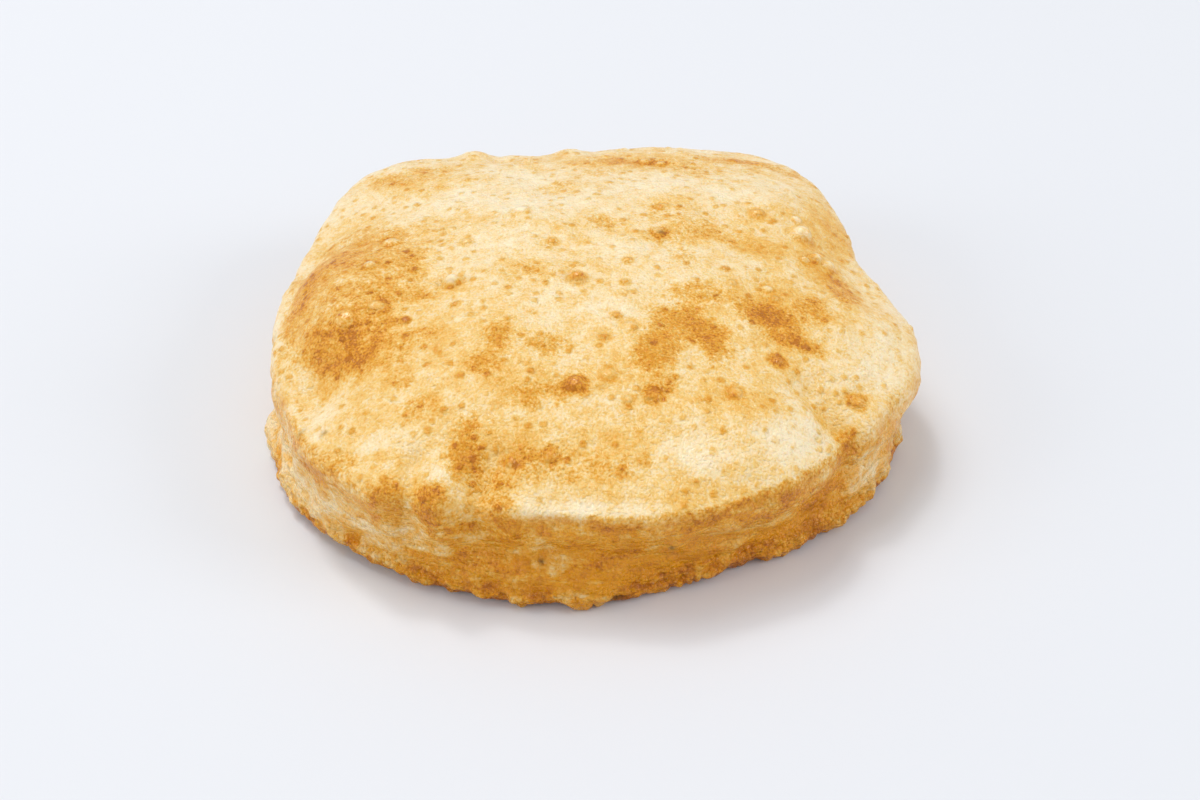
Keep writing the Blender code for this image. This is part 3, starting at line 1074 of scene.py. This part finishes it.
@dataclass(frozen=True)
class FriedCrust:
    """Deep-fried wheat crust: thin oily skin with a fine blistered grain, pale where it puffed out first.

    The weights say how much each pattern and each painted attribute adds. The patterns are noise between
    about -0.5 and 0.5, and the attributes lie between 0 and 1.
    """

    # Tones of the top, from the palest skin to the deepest browning
    top_tones: tuple[tuple[float, str], ...] = (
        (0.00, "FFEBC4"),
        (0.20, "FBDEA8"),
        (0.38, "F5CB7A"),
        (0.54, "EFB855"),
        (0.70, "E8A22A"),
        (0.85, "DE9018"),
        (1.00, "C27408"),
    )
    # Tones of the wall, which stays in the oil longer and is deeper and more amber
    wall_tones: tuple[tuple[float, str], ...] = (
        (0.00, "FDDFAA"),
        (0.22, "F6C878"),
        (0.42, "F0B040"),
        (0.60, "E89A12"),
        (0.80, "D88406"),
        (1.00, "BC6A04"),
    )
    oil_colour: str = "EB9C08"
    char_colour: str = "2E1B0C"
    # How much of the oily amber shows through, which is less where the crust is browned
    oil_cover: float = 0.95
    oil_weights: Weights = (("browning", -0.75),)
    # How deep the crust is fried: 0 is the palest of its tones and 1 the deepest
    top_depth: float = 0.245
    top_weights: Weights = (
        ("broad", 0.58),
        ("mottle", 0.62),
        ("speckle", 0.40),
        ("grain", 0.58),
        ("dots", 0.30),
        # the ring round a blister is fried deeper, partly as painted shade at its foot
        ("ring", 0.08),
        ("browned", 0.26),
        ("browning", 0.14),
        ("deep", 0.08),
        ("sandy", 1.0),
        ("golden", 0.27),
        ("pale", -0.22),
    )
    wall_depth: float = 0.34
    wall_weights: Weights = (
        ("streaks", 0.80),
        ("broad", 0.90),
        ("mottle", 0.98),
        ("speckle", 0.55),
        ("grain", 0.42),
        # painted shade in the sunk relief of the lip and side, and painted light where it stands proud
        ("relief_shade", -0.25),
        ("dots", 0.10),
        ("browned", 0.14),
        ("browning", 0.15),
        ("sandy", 0.7),
        ("amber", 0.26),
        ("lip", 0.14),
        ("pale", -0.26),
    )
    # How the edges of the browned patches are broken up, and the sandy grain inside them
    ragged_weights: Weights = (("mottle", 1.1), ("speckle", 0.9), ("grain", 0.8), ("pits", 0.2))
    sand_weights: Weights = (("pits", 0.12), ("grain", 0.25))
    # The oil lies in uneven patches, thickest on the wall and on the blisters
    roughness: float = 0.40
    roughness_weights: Weights = (("mottle", 0.35), ("wall", -0.12))
    coat_weight: float = 0.27
    coat_weights: Weights = (("browning", -0.10), ("dome", 0.6), ("mottle", 0.6))
    coat_roughness: float = 0.13
    ior: float = 1.34
    flesh_weight: float = 0.15
    flesh_radius: tuple[float, float, float] = (1.0, 0.55, 0.22)
    flesh_depth: float = 2.5
    # Relief too fine for the mesh, in millimetres; the skin of a blister is stretched smooth
    fine_relief: Weights = (
        ("grain", 0.52),
        ("speckle", 0.60),
        ("dots", 0.42),
        ("rough_pits", -0.50),
        ("wall_streaks", 1.5),
    )
    blister_relief: Weights = (("dome", 0.35), ("ring", -0.10))
    pit_depth: float = 0.45
    pit_weights: Weights = (("browning", 0.9), ("wall", 0.6), ("lip", 0.8))
    dome_smoothing: Weights = (("dome", -0.75),)
    # Name, size in millimetres and detail of each noise pattern
    noises: tuple[tuple[str, float, float], ...] = (
        ("broad", 17, 2.0),
        ("mottle", 5, 3.0),
        ("speckle", 2.0, 2.0),
        ("grain", 0.8, 1.0),
    )
    noise_roughness: float = 0.55
    streak: float = 11
    streak_height: float = 2.6
    streak_detail: float = 3.0
    streak_swirl: float = 0.8
    # The dots are those of the scattered cells whose drawn number is past the choice
    dot_spacing: float = 4.2
    dot_reach: Range = (0.42, 0.12)
    dot_choice: Range = (0.40, 0.50)
    pit_spacing: float = 1.3
    pit_middle: float = 0.45
    # Shares of a blister's radius between which its dome fades, and its ring fades inside and outside
    dome_range: Range = (1.0, 0.3)
    ring_inside: Range = (0.6, 1.0)
    ring_outside: Range = (1.6, 1.1)
    # Painted browning at which the ragged edge of a patch begins and ends, and the range that shows
    edge_begins: Range = (0.04, 0.35)
    edge_ends: Range = (1.05, 0.35)
    browning_range: Range = (0.05, 0.95)
    oily_streaks: Range = (-0.10, 0.16)

    def material(self) -> bpy.types.Material:
        """Builds the crust's material.

        Returns:
            The material, which reads the skin's tone attributes and its own noise patterns.
        """
        material = bpy.data.materials.new("fried wheat crust")
        material.use_nodes = True
        tree = material.node_tree
        tree.nodes.clear()
        work = NodeWork(tree)
        self.find_patterns(work)
        self.find_painted(work)
        self.find_browning(work)
        relief = self.bump(work)
        shader = add_node(
            tree,
            "ShaderNodeBsdfPrincipled",
            inputs={
                "Base Color": self.colour(work),
                "Roughness": work.weighed(self.roughness, self.roughness_weights),
                "IOR": self.ior,
                "Coat Weight": work.weighed(self.coat_weight, self.coat_weights),
                "Coat Roughness": self.coat_roughness,
                "Subsurface Weight": self.flesh_weight,
                "Subsurface Radius": self.flesh_radius,
                "Subsurface Scale": self.flesh_depth * MM,
                "Normal": relief,
                "Coat Normal": relief,
            },
        )
        add_node(tree, "ShaderNodeOutputMaterial", inputs={"Surface": shader.outputs["BSDF"]})
        return material

    def find_patterns(self, work: NodeWork) -> None:
        """Makes the noise patterns of the crust, each at its own size and even about 0.

        Args:
            work: The node tree and the sockets found so far.
        """
        place = add_node(work.tree, "ShaderNodeTexCoord").outputs["Object"]
        work.found["place"] = place
        for name, size, detail in self.noises:
            inputs = {"Scale": 1 / (size * MM), "Detail": detail, "Roughness": self.noise_roughness}
            work.found[name] = work.clouds(place, inputs)
        stretch = (1 / (self.streak * MM), 1 / (self.streak * MM), 1 / (self.streak_height * MM))
        flattened = add_node(work.tree, "ShaderNodeMapping", inputs={"Vector": place, "Scale": stretch})
        inputs = {"Scale": 1.0, "Detail": self.streak_detail, "Distortion": self.streak_swirl}
        work.found["streaks"] = work.clouds(flattened.outputs["Vector"], inputs)
        dots = work.cells(self.dot_spacing)
        drawn = add_node(work.tree, "ShaderNodeSeparateColor", inputs={"Color": dots.outputs["Color"]})
        chosen = work.ramp(drawn.outputs["Red"], *self.dot_choice)
        work.found["dots"] = work.times(work.ramp(dots.outputs["Distance"], *self.dot_reach), chosen)
        pits = work.cells(self.pit_spacing)
        work.found["pits"] = work.centred(pits.outputs["Distance"], self.pit_middle)

    def find_painted(self, work: NodeWork) -> None:
        """Reads what is painted on the skin, and finds the blisters' domes and rings in it.

        Args:
            work: The node tree and the sockets found so far.
        """
        for name in (*(tone.value for tone in Tone), "wall", "lip", "amber", "blister", "relief_shade"):
            attribute = add_node(work.tree, "ShaderNodeAttribute", {"attribute_name": name})
            work.found[name] = attribute.outputs["Fac"]
        work.found["dome"] = work.ramp("blister", *self.dome_range)
        outside = work.ramp("blister", *self.ring_outside)
        work.found["ring"] = work.times(outside, work.ramp("blister", *self.ring_inside))

    def find_browning(self, work: NodeWork) -> None:
        """Breaks the painted browning up into ragged, grainy patches.

        Args:
            work: The node tree and the sockets found so far.
        """
        begins = work.ramp("browned", *self.edge_begins)
        near_an_edge = work.times(begins, work.ramp("browned", *self.edge_ends))
        work.found["ragged"] = work.times(near_an_edge, work.weighed(0.0, self.ragged_weights))
        level = work.weighed(0.0, (("browned", 1.0), ("ragged", 1.0)))
        work.found["browning"] = work.ramp(level, *self.browning_range)
        work.found["deep"] = work.times("browned", "browning")
        work.found["sandy"] = work.times("browning", work.weighed(0.0, self.sand_weights))

    def colour(self, work: NodeWork) -> Socket:
        """The crust's colour, from how deep it is fried at each place.

        Args:
            work: The node tree, with its patterns, its painted attributes and its browning.

        Returns:
            The colour's socket.
        """
        top = work.tones(work.weighed(self.top_depth, self.top_weights), self.top_tones)
        wall = work.tones(work.weighed(self.wall_depth, self.wall_weights), self.wall_tones)
        oily = work.times("amber", work.ramp("streaks", *self.oily_streaks))
        oily = work.times(oily, work.weighed(self.oil_cover, self.oil_weights))
        wall = work.blend(oily, wall, linear_colour(self.oil_colour))
        skin = work.blend("wall", top, wall)
        return work.blend(Tone.CHAR.value, skin, linear_colour(self.char_colour))

    def bump(self, work: NodeWork) -> Socket:
        """The relief too fine for the mesh, in real heights.

        Args:
            work: The node tree, with its patterns, its painted attributes and its browning.

        Returns:
            The normal's socket.
        """
        work.found["wall_streaks"] = work.times("wall", "streaks")
        work.found["rough_pits"] = work.times(work.weighed(self.pit_depth, self.pit_weights), "pits")
        fine = work.weighed(0.0, self.fine_relief, MM)
        work.found["stretched"] = work.times(fine, work.weighed(1.0, self.dome_smoothing))
        work.found["domed"] = work.weighed(0.0, self.blister_relief, MM)
        height = work.weighed(0.0, (("stretched", 1.0), ("domed", 1.0)))
        inputs = {"Strength": 1.0, "Distance": 1.0, "Height": height}
        return add_node(work.tree, "ShaderNodeBump", inputs=inputs).outputs["Normal"]


@dataclass
class BreadSkin:
    """The whole bread as one closed skin, a box of square cells blown up into a cushion."""

    outline: Outline = field(default_factory=Outline)
    relief: Relief = field(default_factory=Relief)
    browning: Browning = field(default_factory=Browning)
    crust: FriedCrust = field(default_factory=FriedCrust)
    cells_across: int = 190
    cells_down: int = 36
    on_wall: Zone = Zone(1.06, 1.20, 2.00, 2.10)
    on_lip: Zone = Zone(1.60, 1.75, 1.95, 2.05)
    on_amber: Zone = Zone(1.04, 1.20, 1.95, 2.10)
    # How amber the wall still is above its waist, for below it the amber grows, partly the oil's own colour
    # and partly painted light bounced up from the floor; and how much the painted shade and light of its
    # relief show off the lip
    amber_high_up: float = 0.6
    amber_waist: Range = (1.3, 1.6)
    relief_shade_on_wall: float = 0.3
    # The station where the blisters end, and the share that stands for no blister near
    blisters_end: float = 1.1
    no_blister: float = 2
    off_centre: Vector = field(default_factory=Vector)

    def box_of_skin(self) -> bmesh.types.BMesh:
        """Makes the box of square cells.

        Returns:
            The box, 2 units a side.
        """
        bm = bmesh.new()
        bmesh.ops.create_cube(bm, size=2)
        for axis, cells in ((0, self.cells_across), (1, self.cells_across), (2, self.cells_down)):
            along = [edge for edge in bm.edges if abs(edge.verts[0].co[axis] - edge.verts[1].co[axis]) > 1]
            bmesh.ops.subdivide_edges(bm, edges=along, cuts=cells - 1, use_grid_fill=True)
        return bm

    def chart(self, bm: bmesh.types.BMesh) -> tuple[np.ndarray, np.ndarray]:
        """Where each cell corner of the box lies on the bread.

        Args:
            bm: The box.

        Returns:
            Compass angle in radians and station of each vertex.
        """
        u, v, w = np.array([vertex.co for vertex in bm.verts]).T
        disc_x = u * np.sqrt(1 - v * v / 2)
        disc_y = v * np.sqrt(1 - u * u / 2)
        share = np.minimum(np.hypot(disc_x, disc_y), 1)
        on_side = np.maximum(np.abs(u), np.abs(v)) > 1 - 1e-6
        station = np.where(w > 0, share, 3 - share)
        station = np.where(on_side, 1.5 - w / 2, station)
        return np.arctan2(disc_y, disc_x), station

    def move(self, bm: bmesh.types.BMesh, places: np.ndarray) -> None:
        """Puts the vertices at their places and works out the normals again."""
        for vertex, place in zip(bm.verts, places):
            vertex.co = place
        bm.normal_update()

    def build(self) -> bpy.types.Object:
        """Makes the bread's mesh, its attributes and its object.

        Returns:
            The bread, at the origin, with its place in its mesh.
        """
        bm = self.box_of_skin()
        angle, station = self.chart(bm)
        reach, height = self.outline.section(angle, station)
        smooth = np.stack([reach * np.cos(angle), reach * np.sin(angle), height], 1)
        self.move(bm, smooth)
        outward = np.array([vertex.normal for vertex in bm.verts])
        side = self.relief.side(smooth, angle, station)
        places = smooth + outward * (self.relief.top(smooth) + side)[:, None]
        places[:, 2] = np.maximum(places[:, 2], 0) + self.relief.underside(places, station)
        centre = (places.min(0) + places.max(0)) / 2
        self.off_centre = Vector((-centre[0], -centre[1], 0))
        places[:, :2] -= centre[:2]
        self.move(bm, places)
        bread = add_object(PIECE, bm)
        bread.data.shade_smooth()
        layers = self.paint(smooth, angle, station)
        # painted shade and light that follow the side's relief: darker where it is sunk, lighter where it
        # stands proud
        layers["relief_shade"] = self.relief_shade(side, layers["lip"])
        for name, values in layers.items():
            layer = bread.data.attributes.new(name, "FLOAT", "POINT")
            layer.data.foreach_set("value", values.astype(np.float32))
        return bread

    def paint(self, smooth: np.ndarray, angle: np.ndarray, station: np.ndarray) -> dict[str, np.ndarray]:
        """The tones and zones of the skin, for the attributes that the crust's material reads.

        Args:
            smooth: Its points before the relief, in metres.
            angle: Their compass angles, in radians.
            station: Their stations along the section.

        Returns:
            Each attribute's values, by name.
        """
        tones = self.browning.paint(smooth, angle, station, self.relief.blisters)
        layers = {tone.value: values for tone, values in tones.items()}
        layers["wall"] = self.on_wall.share(station)
        layers["lip"] = self.on_lip.share(station)
        amber = np.clip(round_the_bread(angle, 0, self.browning.amber), 0, 1)
        # more amber low on the wall: partly the oil's colour and partly painted light bounced up from the
        # floor
        low_down = self.amber_high_up + (1 - self.amber_high_up) * smooth_step(station, *self.amber_waist)
        layers["amber"] = amber * low_down * self.on_amber.share(station)
        x, y, _ = smooth.T / MM
        share = np.minimum(self.relief.blister_share(x, y), self.no_blister)
        layers["blister"] = np.where(station < self.blisters_end, share, self.no_blister)
        return layers

    def relief_shade(self, side: np.ndarray, lip: np.ndarray) -> np.ndarray:
        """How far the side stands proud, from -1 to 1 and mostly on the lip: the crust's material paints
        shade where it is sunk and light where it stands proud.
        """
        share = self.relief_shade_on_wall + (1 - self.relief_shade_on_wall) * lip
        return np.clip(side / (self.relief.crags.depth * MM), -1, 1) * share

    def dress(self, bread: bpy.types.Object) -> None:
        """Gives the bread its crust and its place in the frame.

        Args:
            bread: The bread's object.
        """
        bread.data.materials.append(self.crust.material())
        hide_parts(NODE)
        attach(bread, "root")


@dataclass(frozen=True)
class Lamp:
    """A square soft light that faces the bread: its place and side in metres and its power in watts."""

    name: str
    place: tuple[float, float, float]
    side: float
    power: float

    def hang(self) -> bpy.types.Object:
        """Adds the light to the scene.

        Returns:
            The light's object.
        """
        light = bpy.data.lights.new(self.name, "AREA")
        light.shape = "SQUARE"
        light.size = self.side
        light.energy = self.power
        lamp = bpy.data.objects.new(self.name, light)
        lamp.location = self.place
        lamp.rotation_euler = Vector(self.place).to_track_quat("Z", "Y").to_euler()
        bpy.context.scene.collection.objects.link(lamp)
        return lamp


@dataclass
class Studio:
    """The plain pale floor, the soft lights and the camera."""

    floor_side: float = 8.0
    floor_colour: str = "E4E6EA"
    floor_roughness: float = 0.7
    floor_drop: float = 0.1
    sky_colour: str = "F4F6FA"
    sky_strength: float = 0.60
    lamps: tuple[Lamp, ...] = (
        Lamp("window light", (-1.3, 1.1, 3.7), 2.0, 54),
        Lamp("lamp over the window", (-0.9, 1.5, 3.6), 0.5, 19),
        Lamp("right fill", (3.0, -0.5, 1.5), 1.6, 30),
        Lamp("left fill", (-3.0, -1.0, 1.3), 1.6, 26),
    )
    camera_rise: float = 38
    camera_distance: float = 0.44
    camera_lens: float = 40
    camera_nearest: float = 0.01
    sensor_width: float = 36
    look_at: tuple[float, float, float] = (3.5, -40, 30)

    def floor(self) -> bpy.types.Object:
        """Makes the floor, a hair under the bread.

        Returns:
            The floor.
        """
        bm = bmesh.new()
        bmesh.ops.create_grid(bm, x_segments=1, y_segments=1, size=self.floor_side / 2)
        bmesh.ops.translate(bm, vec=(0, 0, -self.floor_drop * MM), verts=bm.verts)
        floor = add_object("floor", bm)
        material = bpy.data.materials.new("matt pale floor")
        material.use_nodes = True
        shader = material.node_tree.nodes["Principled BSDF"]
        shader.inputs["Base Color"].default_value = linear_colour(self.floor_colour)
        shader.inputs["Roughness"].default_value = self.floor_roughness
        floor.data.materials.append(material)
        return floor

    def sky(self) -> None:
        """Lights the room evenly from all round."""
        world = bpy.data.worlds.new("soft white room")
        world.use_nodes = True
        background = world.node_tree.nodes["Background"]
        background.inputs["Color"].default_value = linear_colour(self.sky_colour)
        background.inputs["Strength"].default_value = self.sky_strength
        bpy.context.scene.world = world

    def camera(self, off_centre: Vector) -> bpy.types.Object:
        """Sets the camera at the photograph's viewing angle.

        Args:
            off_centre: How far the bread's own middle lies from the frame's origin.

        Returns:
            The camera.
        """
        rise = math.radians(self.camera_rise)
        backward = Vector((0, -math.cos(rise), math.sin(rise)))
        data = bpy.data.cameras.new("camera")
        data.lens = self.camera_lens
        data.sensor_width = self.sensor_width
        data.sensor_fit = "HORIZONTAL"
        data.clip_start = self.camera_nearest
        camera = bpy.data.objects.new("camera", data)
        camera.location = Vector(self.look_at) * MM + off_centre + backward * self.camera_distance
        camera.rotation_euler = backward.to_track_quat("Z", "Y").to_euler()
        bpy.context.scene.collection.objects.link(camera)
        bpy.context.scene.camera = camera
        return camera

    def set_up(self, off_centre: Vector) -> None:
        """Makes the floor, the lights and the camera, and keeps colours as they are shown on a screen.

        Args:
            off_centre: How far the bread's own middle lies from the frame's origin.
        """
        self.floor()
        self.sky()
        for lamp in self.lamps:
            lamp.hang()
        self.camera(off_centre)
        bpy.context.scene.view_settings.view_transform = "Standard"
        LOG.info("studio: floor, %d lights and the camera", len(self.lamps))


def main() -> None:
    """Builds the bread and the studio, and reports each piece."""
    skin = BreadSkin()
    bread = skin.build()
    skin.dress(bread)
    LOG.info("%s: %d corners, %d cells", bread.name, len(bread.data.vertices), len(bread.data.polygons))
    Studio().set_up(skin.off_centre)


if __name__ == "__main__":
    main()
